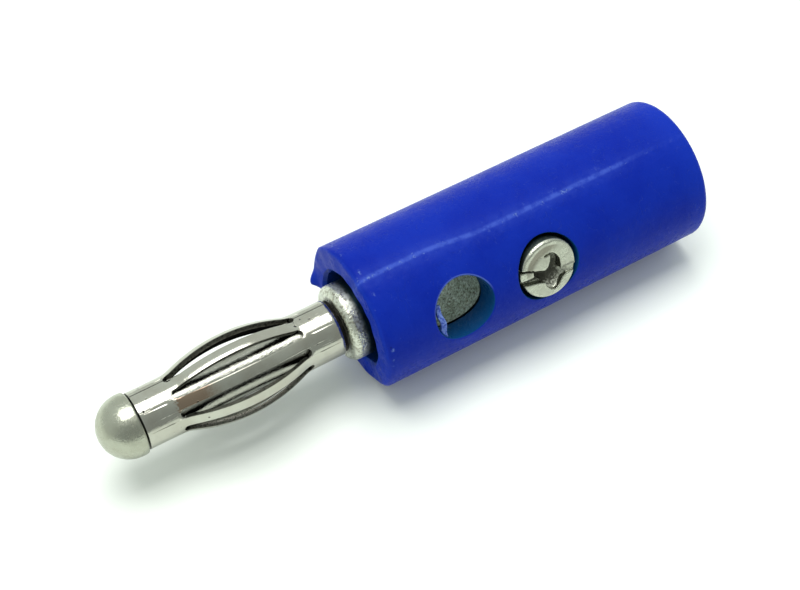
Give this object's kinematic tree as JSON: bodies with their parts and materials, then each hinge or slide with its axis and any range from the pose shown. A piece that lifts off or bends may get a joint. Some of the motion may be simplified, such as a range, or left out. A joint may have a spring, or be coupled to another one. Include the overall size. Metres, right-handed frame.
{
  "type": "banana plug",
  "caption": "Banana plug with a bowed lantern spring on a dome-tipped pin, a blue insulating sleeve with a side socket, and a screw that clamps the wire.",
  "frame": {"origin": "centre of the sleeve's flat rear end, where the wire goes in; the plug stands on this end", "axes": "+Z along the plug, from the rear end to the domed tip; -Y out of the mouth of the side socket and of the screw's hole"},
  "size_m": [0.0096, 0.0097, 0.0412],
  "materials": {
    "blue_plastic": "moulded, scuffed semi-gloss",
    "satin_nickel": "turned brass with satin nickel plating",
    "bright_nickel": "rolled bronze strip with bright nickel plating",
    "plated_steel": "nickel-plated steel, worn at the slot"
  },
  "bodies": {
    "plug_body": {"insulating_sleeve": "blue_plastic", "contact_body": "satin_nickel"},
    "spring_cage": {"spring_cage": "bright_nickel"},
    "clamp_screw": {"clamp_screw": "plated_steel"}
  },
  "joints": [
    {"name": "spring_cage_spin", "type": "hinge", "parent": "plug_body", "child": "spring_cage", "pos_m": [0, 0, 0.0321], "axis": [0, 0, 1], "continuous": true},
    {"name": "clamp_screw_travel", "type": "slide", "parent": "plug_body", "child": "clamp_screw", "axis": [0, -1, 0], "range_m": [-0.0004, 0.0019]}
  ]
}
